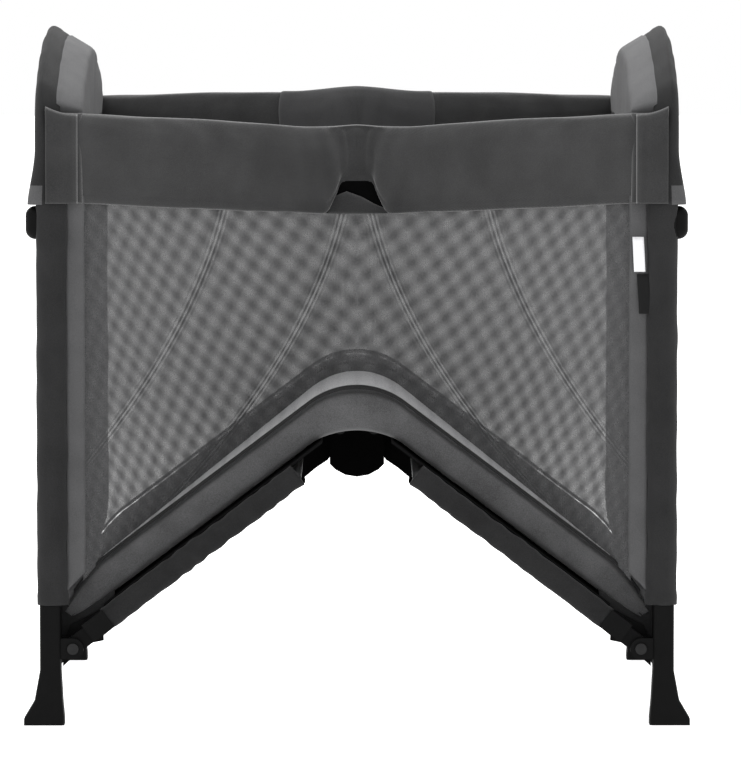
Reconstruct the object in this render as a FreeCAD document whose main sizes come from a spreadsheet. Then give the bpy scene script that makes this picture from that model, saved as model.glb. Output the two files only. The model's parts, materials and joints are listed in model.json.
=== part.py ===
import FreeCAD, Part
import math
import os
from types import SimpleNamespace
from FreeCAD import Placement, Rotation, Vector

# Folding playpen, modelled half folded. Millimetres, +Z up, +X along the length, near side at -Y.
# The origin is on the floor, midway between the four feet.
# Two rigid end frames stand upright and move towards each other. The base folds up at a hub in the
# middle, and each top rail folds inwards at a centre bracket. Left and right are mirror images.

doc = FreeCAD.newDocument("playpen")
os.makedirs("parts", exist_ok=True)

SIZES = {
    "leg_x": 380,             # centre of the legs from the middle, along the length
    "leg_y": 331,             # centre of the legs from the middle, across the width
    "leg_radius": 12.5,       # steel leg tube
    "tube_wall": 1.2,         # wall of every steel tube
    "leg_top": 690,           # leg tube ends inside the corner moulding
    "sleeve_radius": 19,      # fabric sleeve around the leg
    "sleeve_top": 600.5,
    "foot_height": 149,
    "foot_depth": 34,
    "pivot_x": 352,           # foot pivots and corner hinges from the middle
    "pivot_z": 95,            # foot pivot above the floor
    "foot_pin_radius": 4,
    "ear_radius": 13,         # ears on the foot, one each side of the base bracket
    "tongue_radius": 12,
    "hub_pin_x": 22,          # hub and centre bracket pins from the middle
    "hub_pin_radius": 5,
    "hub_depth": 72,
    "arm_depth": 36,
    "rest_angle": 37,         # slope of each base half, and plan angle of each rail half
    "base_radius": 10,        # base frame tube
    "base_offset": 4,         # base frame tube above the line through its pivots
    "cross_at": 345,          # cross tube from the foot pivot, along the slope
    "strip_low": -9,
    "strip_high": 17,
    "strip_start": 60,
    "strip_end": 350,
    "strip_half": 13,
    "board_high": 20,
    "board_end": 400,
    "board_half": 330,
    "mattress_start": 30,
    "mattress_high": 50,
    "mattress_half": 305,
    "corner_low": 601,
    "corner_high": 741,
    "corner_half_x": 15.2,
    "corner_half_y": 16.5,
    "rail_z": 722,            # rail tube axis at the corner hinge
    "rail_radius": 11,
    "rail_pin_radius": 3,
    "knuckle_radius": 9,
    "knuckle_half": 10.9,     # half the height of a rail knuckle
    "near_tilt": 6.2,         # near hinge axes lean so that this rail drops as it folds in
    "far_tilt": 3.6,          # far hinge axes lean the other way, so the two rails pass
    "cover_low": -75,         # padded rail cover, measured from the tube axis
    "cover_high": 37,
    "cover_half": 15,
    "arch_radius": 10,
    "turn_radius": 45,        # bend of the arch tube above each corner
    "crown_z": 840,           # axis of the arch tube at its highest point
    "hoop_width": 31,         # padded hoop along the length
    "hoop_height": 36,        # padded hoop across its own curve
    "wall_thickness": 3,
    "mesh_thickness": 2.4,
    "press": 0.02,            # radial gap of a fixed pin
    "running": 0.05,          # radial gap of a turning pin or a tube in its socket
    "gap": 0.3,               # gap between pieces that pass each other
}
v = SimpleNamespace(**SIZES)

sheet = doc.addObject("Spreadsheet::Sheet", "size")
for row, (alias, value) in enumerate(SIZES.items(), 1):
    sheet.set(f"A{row}", alias)
    sheet.set(f"B{row}", str(value))
    sheet.setAlias(f"B{row}", alias)
row = len(SIZES) + 1
sheet.set(f"A{row}", "half_length")
sheet.set(f"B{row}", "=(pivot_x - hub_pin_x) / cos(rest_angle * 1 deg)")
sheet.setAlias(f"B{row}", "half_length")
doc.recompute()

REST = math.radians(v.rest_angle)
HALF_LENGTH = (v.pivot_x - v.hub_pin_x) / math.cos(REST)
RISE = HALF_LENGTH * math.sin(REST)
ALONG = {
    "x": Rotation(Vector(0, 1, 0), 90),
    "y": Rotation(Vector(1, 0, 0), -90),
    "z": Rotation(),
}
nodes = []


# ---- building blocks ----

def block(name, x, y, z):
    """Box between two formulas along each axis."""
    item = doc.addObject("Part::Box", name)
    for side, axis, (low, high) in (("Length", "x", x), ("Width", "y", y), ("Height", "z", z)):
        item.setExpression(side, f"({high}) - ({low})")
        item.setExpression(f".Placement.Base.{axis}", f"{low}")
    return item


def rod(name, axis, radius, low, high, first, second):
    """Cylinder along an axis from low to high; first and second are its other two coordinates."""
    item = doc.addObject("Part::Cylinder", name)
    item.Placement = Placement(Vector(), ALONG[axis])
    item.setExpression("Radius", f"{radius}")
    item.setExpression("Height", f"({high}) - ({low})")
    others = [letter for letter in "xyz" if letter != axis]
    for letter, formula in ((axis, low), (others[0], first), (others[1], second)):
        item.setExpression(f".Placement.Base.{letter}", f"{formula}")
    return item


def ball(name, radius, x, y, z):
    item = doc.addObject("Part::Sphere", name)
    item.setExpression("Radius", f"{radius}")
    for letter, formula in (("x", x), ("y", y), ("z", z)):
        item.setExpression(f".Placement.Base.{letter}", f"{formula}")
    return item


def plate(name, plane, points, thickness):
    """Outline on an origin plane, padded equally to both sides of it."""
    body = doc.addObject("PartDesign::Body", name)
    sketch = body.newObject("Sketcher::SketchObject", f"{name}_outline")
    face = next(item for item in body.Origin.OriginFeatures if item.Role == plane)
    sketch.AttachmentSupport = [(face, "")]
    sketch.MapMode = "FlatFace"
    corners = [Vector(first, second, 0) for first, second in points]
    for start, end in zip(corners, corners[1:] + corners[:1]):
        sketch.addGeometry(Part.LineSegment(start, end))
    pad = body.newObject("PartDesign::Pad", f"{name}_pad")
    pad.Profile = sketch
    pad.SideType = "Symmetric"
    pad.setExpression("Length", thickness)
    return body


def fuse(name, pieces):
    item = doc.addObject("Part::MultiFuse", name)
    item.Shapes = pieces
    item.Refine = True
    return item


def cut(name, base, tools):
    tool = tools[0] if len(tools) == 1 else fuse(f"{name}_tools", tools)
    item = doc.addObject("Part::Cut", name)
    item.Base = base
    item.Tool = tool
    item.Refine = True
    return item


def group(name, pieces):
    item = doc.addObject("Part::Compound", name)
    item.Links = pieces
    return item


def mirror(name, source, axis, at=0):
    """Mirror image in the plane across an axis."""
    item = doc.addObject("Part::Mirroring", name)
    item.Source = source
    item.Normal = Vector(axis == "x", axis == "y", axis == "z")
    item.Base = item.Normal * at
    return item


def rounded(name, base, radius, wanted):
    """Fillet on each edge whose direction and middle point are wanted."""
    doc.recompute()
    picked = []
    for number, edge in enumerate(base.Shape.Edges, 1):
        run = edge.Vertexes[-1].Point - edge.Vertexes[0].Point
        if run.Length > 0 and wanted(run.normalize(), edge.CenterOfMass):
            picked.append((number, radius, radius))
    item = doc.addObject("Part::Fillet", name)
    item.Base = base
    item.Edges = picked
    return item


def keep(item, name):
    """Record a finished piece under its node name."""
    item.Label = name
    nodes.append(item)
    return item


def left_and_right(item, stem):
    keep(item, f"{stem}_left")
    keep(mirror(f"{stem}_right", item, "x"), f"{stem}_right")


def near_and_far(item, stem):
    """One node per end, holding the near piece and its mirror image on the far side."""
    far = mirror(f"{stem}_far_copy", item, "y")
    left_and_right(group(f"{stem}_left", [item, far]), stem)


def four(near, stem, far=None):
    """The near left piece and its three mirror images; far is given when it isn't one of them."""
    far_left = mirror(f"{stem}_far_left", far or near, "y")
    left_and_right(near, f"{stem}_near")
    left_and_right(far_left, f"{stem}_far")


def pipe(path, radius):
    """Round bar along a path that starts upright."""
    start = path.OrderedVertexes[0].Point
    circle = Part.Circle(start, Vector(0, 0, 1), radius)
    return path.makePipeShell([Part.Wire(circle.toShape())], True, False)


# ---- end frames: legs, feet, corner mouldings, arch and fabric ----

leg_inner = "size.leg_radius - size.tube_wall"
leg = cut(
    "leg_near_left",
    rod("leg_outside", "z", "size.leg_radius", "size.foot_height + size.gap", "size.leg_top",
        "-size.leg_x", "-size.leg_y"),
    [rod("leg_inside", "z", leg_inner, "size.foot_height", "size.leg_top + 1",
         "-size.leg_x", "-size.leg_y")],
)
four(leg, "leg")

sleeve = cut(
    "leg_sleeve",
    rod("sleeve_outside", "z", "size.sleeve_radius", "size.foot_height + 0.5", "size.sleeve_top",
        "-size.leg_x", "-size.leg_y"),
    [rod("sleeve_inside", "z", "size.leg_radius + size.running", "size.foot_height", "size.sleeve_top + 1",
         "-size.leg_x", "-size.leg_y")],
)
near_and_far(sleeve, "leg_sleeves")

# The foot is narrow at the top and flares out at the floor, more to the outside.
foot_outline = [(13, 149), (13, 68), (15, 30), (17, 8), (17, 0), (-33, 0), (-33, 8), (-20, 30), (-13, 68), (-13, 149)]
foot_block = plate("foot_block", "XZ_Plane", foot_outline, "size.foot_depth")
foot_block.Placement = Placement(Vector(-v.leg_x, -v.leg_y, 0), Rotation())
foot_soft = rounded("foot_soft", foot_block, 5, lambda run, middle: abs(run.y) < 0.01 and middle.z > 5
                    and middle.z < 148)
foot_spigot = rod("foot_spigot", "z", f"{leg_inner} - size.running * 2", "size.foot_height - 1",
                  "size.foot_height + 36", "-size.leg_x", "-size.leg_y")
foot_pieces = [foot_soft, foot_spigot]
for number, (low, high) in enumerate(((-13.5, -7), (7, 13.5))):
    reach = (f"-size.leg_y + {low}", f"-size.leg_y + {high}")
    foot_pieces.append(rod(f"foot_ear_{number}", "y", "size.ear_radius", *reach, "-size.pivot_x", "size.pivot_z"))
    foot_pieces.append(block(f"foot_web_{number}", ("-size.leg_x + 10", "-size.pivot_x"), reach,
                             ("size.pivot_z - size.ear_radius", "size.pivot_z + size.ear_radius")))
foot = cut(
    "foot_near_left",
    fuse("foot_solid", foot_pieces),
    [rod("foot_pin_hole", "y", "size.foot_pin_radius + size.press", "-size.leg_y - 20", "-size.leg_y + 20",
         "-size.pivot_x", "size.pivot_z")],
)
four(foot, "foot")

foot_pin = fuse("foot_pin", [
    rod("foot_pin_shank", "y", "size.foot_pin_radius", "-size.leg_y - 15", "-size.leg_y + 15",
        "-size.pivot_x", "size.pivot_z"),
    rod("foot_pin_head", "y", "size.foot_pin_radius + 3", "-size.leg_y - 16.5", "-size.leg_y - 13.8",
        "-size.pivot_x", "size.pivot_z"),
    rod("foot_pin_tail", "y", "size.foot_pin_radius + 3", "-size.leg_y + 13.8", "-size.leg_y + 16.5",
        "-size.pivot_x", "size.pivot_z"),
])
near_and_far(foot_pin, "foot_pins")


def hinge_frame(tilt):
    """Corner hinge of the near left rail: X along the length, Y inwards, Z along the hinge pin."""
    return Placement(Vector(-v.pivot_x, -v.leg_y, v.rail_z), Rotation(Vector(1, 0, 0), -tilt))


def corner_moulding(name, tilt):
    """Black moulding that joins leg, arch and rail hinge. It bulges outwards at its foot."""
    shell = block(f"{name}_block", ("-size.leg_x - size.corner_half_x", "-size.leg_x + size.corner_half_x"),
                  ("-size.leg_y - size.corner_half_y", "-size.leg_y + size.corner_half_y"),
                  ("size.corner_low", "size.corner_high"))
    shell = rounded(f"{name}_shell", shell, 7, lambda run, middle: abs(run.z) > 0.9)
    bulge = block(f"{name}_bulge", ("-size.leg_x - 29", "-size.leg_x - 8"),
                  ("-size.leg_y - 13", "-size.leg_y + 13"), ("size.corner_low + 2", "size.corner_low + 43"))
    bulge = rounded(f"{name}_lobe", bulge, 12, lambda run, middle: middle.x < -v.leg_x - 18)
    ears = []
    for number, (low, high) in enumerate(((-18, -11.3), (11.3, 18))):
        ears.append(rod(f"{name}_ear_{number}", "z", 11.5, low, high, 0, 0))
        ears.append(block(f"{name}_web_{number}", (-16, 0), (-11.5, 11.5), (low, high)))
    ear_pair = fuse(f"{name}_ears", ears)
    ear_pair.Placement = hinge_frame(tilt)
    hole = rod(f"{name}_pin_hole", "z", "size.rail_pin_radius + size.press", -30, 30, 0, 0)
    hole = group(f"{name}_pin_hole_set", [hole])
    hole.Placement = hinge_frame(tilt)
    return cut(name, fuse(f"{name}_solid", [shell, bulge, ear_pair]), [
        rod(f"{name}_leg_socket", "z", "size.leg_radius + size.running", "size.corner_low - 1",
            "size.leg_top + 1", "-size.leg_x", "-size.leg_y"),
        rod(f"{name}_arch_socket", "z", "size.arch_radius + size.running", "size.leg_top + 10",
            "size.corner_high + 1", "-size.leg_x", "-size.leg_y"),
        hole,
    ])


def corner_pin(name, tilt):
    pin = fuse(name, [
        rod(f"{name}_shank", "z", "size.rail_pin_radius", -20, 20, 0, 0),
        rod(f"{name}_head", "z", "size.rail_pin_radius + 2.5", 18.3, 21, 0, 0),
        rod(f"{name}_tail", "z", "size.rail_pin_radius + 2.5", -21, -18.3, 0, 0),
    ])
    pin.Placement = hinge_frame(tilt)
    return pin


four(corner_moulding("corner_near_left", v.near_tilt), "corner",
     corner_moulding("corner_far_pattern", -v.far_tilt))
near_pin = corner_pin("corner_pin_near", v.near_tilt)
far_pin = mirror("corner_pin_far", corner_pin("corner_pin_far_pattern", -v.far_tilt), "y")
left_and_right(group("corner_pins_left", [near_pin, far_pin]), "corner_pins")

# The arch turns in at each corner and runs across in one shallow curve, tangent to both turns.
turn_y = v.leg_y - v.turn_radius
drop = v.crown_z - v.corner_high
crown_radius = (turn_y**2 + drop**2 - v.turn_radius**2) / (2 * (drop - v.turn_radius))
lean = math.atan2(turn_y, crown_radius - drop)


def arch_point(y, z):
    return Vector(-v.leg_x, y, z)


def turn_point(side, angle):
    """Point on a corner turn, at an angle from upright."""
    return arch_point(side * (turn_y + v.turn_radius * math.sin(angle)),
                      v.corner_high + v.turn_radius * math.cos(angle))


def turn(side):
    points = [turn_point(side, angle) for angle in (math.pi / 2, (math.pi / 2 + lean) / 2, lean)]
    return Part.Arc(*points).toShape()


curve_edges = [
    turn(-1),
    Part.Arc(turn_point(-1, lean), arch_point(0, v.crown_z), turn_point(1, lean)).toShape(),
    turn(1),
]
leg_end = v.leg_top + 11
arch_path = Part.Wire(Part.__sortEdges__([
    Part.LineSegment(arch_point(-v.leg_y, leg_end), arch_point(-v.leg_y, v.corner_high)).toShape(),
    *curve_edges,
    Part.LineSegment(arch_point(v.leg_y, v.corner_high), arch_point(v.leg_y, leg_end)).toShape(),
]))
arch = doc.addObject("Part::Feature", "arch_tube_left")
arch.Shape = pipe(arch_path, v.arch_radius).cut(pipe(arch_path, v.arch_radius - v.tube_wall))
left_and_right(arch, "arch_tube")

pad_path = Part.Wire(Part.__sortEdges__(curve_edges))
pad_corner = Vector(-v.leg_x - 1.5 - v.hoop_width / 2, -v.leg_y - v.hoop_height / 2, v.corner_high)
pad_start = Part.makeBox(v.hoop_width, v.hoop_height, 1, pad_corner)
upright = [edge for edge in pad_start.Edges if abs(edge.tangentAt(edge.FirstParameter).z) > 0.9]
pad_start = pad_start.makeFillet(10, upright)
pad_section = min(pad_start.Faces, key=lambda face: face.CenterOfMass.z).OuterWire
pad_solid = pad_path.makePipeShell([pad_section], True, False)
hoop = doc.addObject("Part::Feature", "end_hoop_left")
hoop.Shape = pad_solid.cut(pipe(arch_path, v.arch_radius + v.running))
hoop.Placement = Placement(Vector(0, 0, 0.5), Rotation())
left_and_right(hoop, "end_hoop")

wall_side = [(311, 155), (311, 735), (304, 757), (288, 769), (267, 778), (167, 798)]
wall_outline = [(-y, z) for y, z in wall_side] + [(0, 818)] + [(y, z) for y, z in reversed(wall_side)]
end_wall = plate("end_wall_left", "YZ_Plane", wall_outline, "size.wall_thickness")
end_wall.Placement = Placement(Vector(-v.leg_x - 14, 0, 0), Rotation())
left_and_right(end_wall, "end_wall")


# ---- base halves: X along the slope from the foot pivot, Z square to it ----

slope = Placement(Vector(-v.pivot_x, 0, v.pivot_z), Rotation(Vector(0, -1, 0), v.rest_angle))


def base_tubes(name, radius, start):
    """U-shaped run: a tube along each side and a cross tube at the hub end."""
    pieces = [
        rod(f"{name}_cross", "y", radius, "-size.leg_y", "size.leg_y", "size.cross_at", "size.base_offset"),
    ]
    for side, y in (("near", "-size.leg_y"), ("far", "size.leg_y")):
        pieces.append(rod(f"{name}_{side}", "x", radius, start, "size.cross_at", y, "size.base_offset"))
        pieces.append(ball(f"{name}_{side}_bend", radius, "size.cross_at", y, "size.base_offset"))
    return fuse(name, pieces)


base_frame = cut(
    "base_frame_left",
    base_tubes("base_frame_outside", "size.base_radius", 34.3),
    [base_tubes("base_frame_inside", "size.base_radius - size.tube_wall", 34)],
)
base_frame.Placement = slope
left_and_right(base_frame, "base_frame")

# A cheek plate beside the foot stiffens the bracket. It is drawn in the slope's own directions.
bracket_reach = ("-size.leg_y - 6.7", "-size.leg_y + 6.7")
cheek_outline = [(-26.5, -12), (15.4, -7.8), (33.8, -16.7), (42, -5), (58, -5), (58, 16), (12, 24), (-6, 12)]
cheek = plate("foot_bracket_cheek", "XZ_Plane", cheek_outline, "4")
cheek.Placement = Placement(Vector(0, -311.5, 0), Rotation())
foot_bracket = cut(
    "foot_bracket",
    fuse("foot_bracket_solid", [
        cheek,
        block("foot_bracket_spacer", (30, 58), ("-size.leg_y + 13", "-311.5"), (-5, 16)),
        rod("foot_bracket_tongue", "y", "size.tongue_radius", *bracket_reach, 0, 0),
        block("foot_bracket_arm", (0, 34), bracket_reach, (-9, 13)),
        block("foot_bracket_socket", (26, 58), ("-size.leg_y - 14", "-size.leg_y + 14"), (-9, 17)),
    ]),
    [
        rod("foot_bracket_pin_hole", "y", "size.foot_pin_radius + size.running", "-size.leg_y - 20",
            "-size.leg_y + 20", 0, 0),
        rod("foot_bracket_tube_hole", "x", "size.base_radius + size.running", 34, 60,
            "-size.leg_y", "size.base_offset"),
    ],
)
foot_bracket.Placement = slope
near_and_far(foot_bracket, "foot_brackets")

strip = cut(
    "base_strip",
    block("base_strip_block", ("size.strip_start", "size.strip_end"),
          ("-size.leg_y - size.strip_half", "-size.leg_y + size.strip_half"), ("size.strip_low", "size.strip_high")),
    [base_tubes("base_strip_hole", "size.base_radius + size.running", 0)],
)
strip.Placement = slope
near_and_far(strip, "base_strips")

# The arm grips the cross tube and hangs below it, with a small lug at its outer end.
arm_outline = [(412, 14), (322, 14), (320, -20), (324, -31), (334, -31), (337, -25), (357, -24), (375, -25),
               (395, -18), (412, -14)]
arm_web = plate("hub_arm_web", "XZ_Plane", arm_outline, "size.arm_depth")
hub_arm = cut(
    "hub_arm_left",
    fuse("hub_arm_solid", [
        arm_web,
        rod("hub_arm_eye", "y", 15, "-size.arm_depth / 2", "size.arm_depth / 2", "size.half_length", 0),
        rod("hub_arm_grip", "y", 13, -32, 32, "size.cross_at", "size.base_offset"),
    ]),
    [
        rod("hub_arm_pin_hole", "y", "size.hub_pin_radius + size.running", -40, 40, "size.half_length", 0),
        rod("hub_arm_tube_hole", "y", "size.base_radius + size.running", -40, 40,
            "size.cross_at", "size.base_offset"),
    ],
)
hub_arm.Placement = slope
left_and_right(hub_arm, "hub_arm")

board = block("base_board", ("size.strip_start + 2", "size.board_end"), ("-size.board_half", "size.board_half"),
              ("size.strip_high + size.gap", "size.board_high"))
board = group("base_board_left", [board])
board.Placement = slope
left_and_right(board, "base_board")

mattress = block("mattress_pad", ("size.mattress_start", "size.half_length + size.hub_pin_x - 0.5"),
                 ("-size.mattress_half", "size.mattress_half"), ("size.board_high + size.gap", "size.mattress_high"))
mattress = group("mattress_left", [rounded("mattress_soft", mattress, 6, lambda run, middle: abs(run.x) > 0.9)])
mattress.Placement = slope
left_and_right(mattress, "mattress")


# ---- hub in the middle of the base ----

hub_z = v.pivot_z + RISE
hub_side = [(35, 353), (35, 297), (28, 290), (15, 283)]
hub_top = hub_z + 16
hub_outline = [(-30, hub_top)] + [(-x, z) for x, z in hub_side] + [(0, 280.5)]
hub_outline += [(x, z) for x, z in reversed(hub_side)] + [(30, hub_top)]
hub_slots = []
for side, (low, high) in (("left", (-40, -4)), ("right", (4, 40))):
    hub_slots.append(block(f"hub_slot_{side}", (low, high), ("-size.arm_depth / 2 - 0.4", "size.arm_depth / 2 + 0.4"),
                           (270, 370)))
for side, x in (("left", "-size.hub_pin_x"), ("right", "size.hub_pin_x")):
    hub_slots.append(rod(f"hub_pin_hole_{side}", "y", "size.hub_pin_radius + size.press", -40, 40, x, hub_z))
keep(cut("hub_housing", plate("hub_solid", "XZ_Plane", hub_outline, "size.hub_depth"), hub_slots), "hub_housing")

hub_pin = fuse("hub_pin_left", [
    rod("hub_pin_shank", "y", "size.hub_pin_radius", "-size.hub_depth / 2 - 1", "size.hub_depth / 2 + 1",
        "-size.hub_pin_x", hub_z),
    rod("hub_pin_head", "y", "size.hub_pin_radius + 3", "-size.hub_depth / 2 - 3.5", "-size.hub_depth / 2 - size.gap",
        "-size.hub_pin_x", hub_z),
    rod("hub_pin_tail", "y", "size.hub_pin_radius + 3", "size.hub_depth / 2 + size.gap", "size.hub_depth / 2 + 3.5",
        "-size.hub_pin_x", hub_z),
])
keep(group("hub_pins", [hub_pin, mirror("hub_pin_right", hub_pin, "x")]), "hub_pins")


# ---- top rails: X along the half rail from the corner hinge, Y inwards, Z along the hinge pin ----

def rail_half(side, tilt):
    """Tube, knuckles, padded cover and mesh leaf of the near left half of a rail."""
    frame = hinge_frame(tilt) * Placement(Vector(), Rotation(Vector(0, 0, 1), v.rest_angle))
    tube_inner = "size.rail_radius - size.tube_wall"
    tube = cut(
        f"rail_tube_{side}_part",
        rod(f"rail_{side}_outside", "x", "size.rail_radius", 26.2, "size.half_length - 26.2", 0, 0),
        [rod(f"rail_{side}_inside", "x", tube_inner, 20, "size.half_length", 0, 0)],
    )
    knuckle = cut(
        f"knuckle_{side}",
        fuse(f"knuckle_{side}_solid", [
            rod(f"knuckle_{side}_eye", "z", "size.knuckle_radius", "-size.knuckle_half", "size.knuckle_half", 0, 0),
            block(f"knuckle_{side}_neck", (0, 24), (-7, 7), (-7, 7)),
            rod(f"knuckle_{side}_collar", "x", "size.rail_radius", 20, 26, 0, 0),
            rod(f"knuckle_{side}_spigot", "x", f"{tube_inner} - size.running * 2", 25, 58, 0, 0),
        ]),
        [rod(f"knuckle_{side}_hole", "z", "size.rail_pin_radius + size.running", -20, 20, 0, 0)],
    )
    knuckles = group(f"knuckles_{side}_part", [knuckle, mirror(f"knuckle_{side}_end", knuckle, "x", HALF_LENGTH / 2)])
    cover_block = block(f"cover_{side}_block", (16, "size.half_length - 36"), ("-size.cover_half", "size.cover_half"),
                        ("size.cover_low", "size.cover_high"))
    cover = cut(
        f"cover_{side}_part",
        rounded(f"cover_{side}_soft", cover_block, 12, lambda run, middle: abs(run.x) > 0.9),
        [rod(f"cover_{side}_hole", "x", "size.rail_radius + size.running", 0, "size.half_length", 0, 0)],
    )
    # The mesh hangs upright below the cover and ends above the sloping base.
    start = 14
    end = HALF_LENGTH - 37
    fall = math.sin(REST) * math.sin(math.radians(tilt))
    leaf_outline = [(x, v.cover_low - 3 - x * fall) for x in (end, start)]
    leaf_outline += [(x, 172 - v.rail_z + x * math.sin(REST)) for x in (start, end)]
    leaf = plate(f"mesh_{side}_part", "XZ_Plane", leaf_outline, "size.mesh_thickness")
    pieces = {"rail_tube": tube, "rail_knuckles": knuckles, "rail_cover": cover, "mesh_side": leaf}
    for piece in pieces.values():
        piece.Placement = frame
    leaf.Placement = hinge_frame(0) * Placement(Vector(), Rotation(Vector(0, 0, 1), v.rest_angle))
    return pieces


near_rail = rail_half("near", v.near_tilt)
far_rail = rail_half("far", -v.far_tilt)
for stem, piece in near_rail.items():
    four(piece, stem, far_rail[stem])


def centre_bracket(side, tilt, drop, well_top, button_top):
    """Bracket between the two halves of a rail. A latch housing drops below it, with a release button in a well."""
    frame = hinge_frame(tilt) * Placement(Vector(v.pivot_x, RISE, 0), Rotation())
    pieces = [
        block(f"bracket_{side}_post", (-9, 9), (-11, 11), (-15, 15)),
        block(f"bracket_{side}_housing", (-26, 26), (-8, 8), (-drop, -14.9)),
    ]
    holes = [block(f"bracket_{side}_well", (-16, 16), (-5.5, 5.5), (-drop - 1, -well_top))]
    pins = []
    for number, x in enumerate(("-size.hub_pin_x", "size.hub_pin_x")):
        for level, (low, high) in enumerate(((11.3, 15), (-15, -11.3))):
            pieces.append(rod(f"bracket_{side}_ear_{number}_{level}", "z", 11, low, high, x, 0))
        holes.append(rod(f"bracket_{side}_hole_{number}", "z", "size.rail_pin_radius + size.press", -20, 20, x, 0))
        pins.append(fuse(f"bracket_{side}_pin_{number}", [
            rod(f"bracket_{side}_shank_{number}", "z", "size.rail_pin_radius", -19.5, 16, x, 0),
            rod(f"bracket_{side}_head_{number}", "z", "size.rail_pin_radius + 2.5", 15.3, 17.5, x, 0),
        ]))
    for level, (low, high) in enumerate(((11.3, 15), (-15, -11.3))):
        pieces.append(block(f"bracket_{side}_plate_{level}", ("-size.hub_pin_x", "size.hub_pin_x"), (-11, 11),
                            (low, high)))
    bracket = cut(f"bracket_{side}_part", fuse(f"bracket_{side}_solid", pieces), holes)
    pin_pair = group(f"bracket_pins_{side}_part", pins)
    button_block = block(f"button_{side}_block", (-15.6, 15.6), (-5.1, 5.1), (-drop - 4, -button_top))
    button = group(f"button_{side}_part", [
        rounded(f"button_{side}_soft", button_block, 2.5, lambda run, middle: middle.z < -drop - 3)])
    for piece in (bracket, pin_pair, button):
        piece.Placement = frame
    return {"rail_bracket": bracket, "bracket_pins": pin_pair, "release_button": button}


for stem, piece in centre_bracket("near", v.near_tilt, 57, 40, 45).items():
    keep(piece, f"{stem}_near")
for stem, piece in centre_bracket("far", -v.far_tilt, 25, 16, 21).items():
    keep(mirror(f"{stem}_far", piece, "y"), f"{stem}_far")


# ---- check and export ----

doc.recompute()
broken = [item.Label for item in doc.Objects if {"Invalid", "Error"} & set(item.State)]
if broken:
    raise RuntimeError(f"these objects failed: {broken}")
for node in nodes:
    shape = node.Shape
    if shape.isNull() or not shape.isValid() or not shape.Solids:
        raise RuntimeError(f"{node.Label} has no valid solid")
    shape.exportStep(f"parts/{node.Label}.step")
print(len(nodes), "nodes written")
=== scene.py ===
import json
import math

import bmesh
import bpy
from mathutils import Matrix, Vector, noise


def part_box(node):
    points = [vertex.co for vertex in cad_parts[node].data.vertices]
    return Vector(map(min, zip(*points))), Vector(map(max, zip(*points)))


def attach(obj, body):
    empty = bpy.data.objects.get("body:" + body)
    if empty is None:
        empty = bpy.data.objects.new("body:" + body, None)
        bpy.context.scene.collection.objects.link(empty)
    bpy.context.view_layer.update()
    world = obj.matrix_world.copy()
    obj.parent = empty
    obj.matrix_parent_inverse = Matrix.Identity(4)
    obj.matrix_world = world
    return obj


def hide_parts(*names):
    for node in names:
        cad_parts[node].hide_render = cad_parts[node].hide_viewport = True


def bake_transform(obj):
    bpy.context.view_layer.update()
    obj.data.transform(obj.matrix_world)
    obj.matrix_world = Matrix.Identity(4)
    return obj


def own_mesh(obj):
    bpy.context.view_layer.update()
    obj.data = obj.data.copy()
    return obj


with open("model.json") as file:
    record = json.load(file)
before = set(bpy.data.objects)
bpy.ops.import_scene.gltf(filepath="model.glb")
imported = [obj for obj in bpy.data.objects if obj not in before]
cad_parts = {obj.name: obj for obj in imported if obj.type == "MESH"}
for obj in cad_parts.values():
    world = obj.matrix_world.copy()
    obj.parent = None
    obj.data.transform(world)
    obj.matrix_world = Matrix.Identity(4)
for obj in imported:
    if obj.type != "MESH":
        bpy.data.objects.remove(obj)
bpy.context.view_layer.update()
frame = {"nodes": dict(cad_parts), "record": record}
NODES = frame["nodes"]
JOINTS = {joint["name"]: joint for joint in frame["record"]["behaviour"]["joints"]}
ENDS = {"left": -1, "right": 1}
SIDES = {"near": -1, "far": 1}

# ---- places, from the frame ----

FOOT_PIVOT = Vector(JOINTS["base_fold"]["pos_m"])
HUB_PIN = Vector(JOINTS["hub_right_pivot"]["pos_m"])
PIVOT_X = -FOOT_PIVOT.x
PIN_X = HUB_PIN.x
SLOPE = math.atan2(HUB_PIN.z - FOOT_PIVOT.z, PIVOT_X - PIN_X)
SLEEVE_LOW, SLEEVE_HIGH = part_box("leg_sleeves_left")
LEG_X = -(SLEEVE_LOW[0] + SLEEVE_HIGH[0]) / 2
SLEEVE_RADIUS = (SLEEVE_HIGH[0] - SLEEVE_LOW[0]) / 2
LEG_Y = SLEEVE_HIGH[1] - SLEEVE_RADIUS
HOOP_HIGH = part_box("end_hoop_left")[1]
HOOP_TOP = HOOP_HIGH[2]
RAIL_Z = JOINTS["rail_near_fold"]["pos_m"][2]
CORNER_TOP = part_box("corner_near_left")[1][2]
CUFF_LOW = 0.646                 # lower hem of the hoop's cover, over the corner moulding
BAND_LOW, BAND_HIGH = -0.075, 0.037   # rail cover below and above the rail's axis
BORDER_IN = 0.3365               # inner edge of the light border beside the mesh


# ---- materials ----

def linear(grey):
    """Linear value of an sRGB grey from 0 to 255."""
    share = grey / 255
    return share / 12.92 if share <= 0.04045 else ((share + 0.055) / 1.055) ** 2.4


def tint(grey):
    """Colour of a grey, very slightly cool."""
    value = linear(grey)
    return (value, value, value * 1.02, 1)


def new_material(name, roughness, metallic=0.0):
    """Empty procedural material, with its node tree and shader."""
    material = bpy.data.materials.new(name)
    material.use_nodes = True
    shader = material.node_tree.nodes["Principled BSDF"]
    shader.inputs["Roughness"].default_value = roughness
    shader.inputs["Metallic"].default_value = metallic
    return material, material.node_tree, shader


def object_point(tree):
    """Place on the object, as the input of a texture."""
    return tree.nodes.new("ShaderNodeTexCoord").outputs["Object"]


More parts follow.
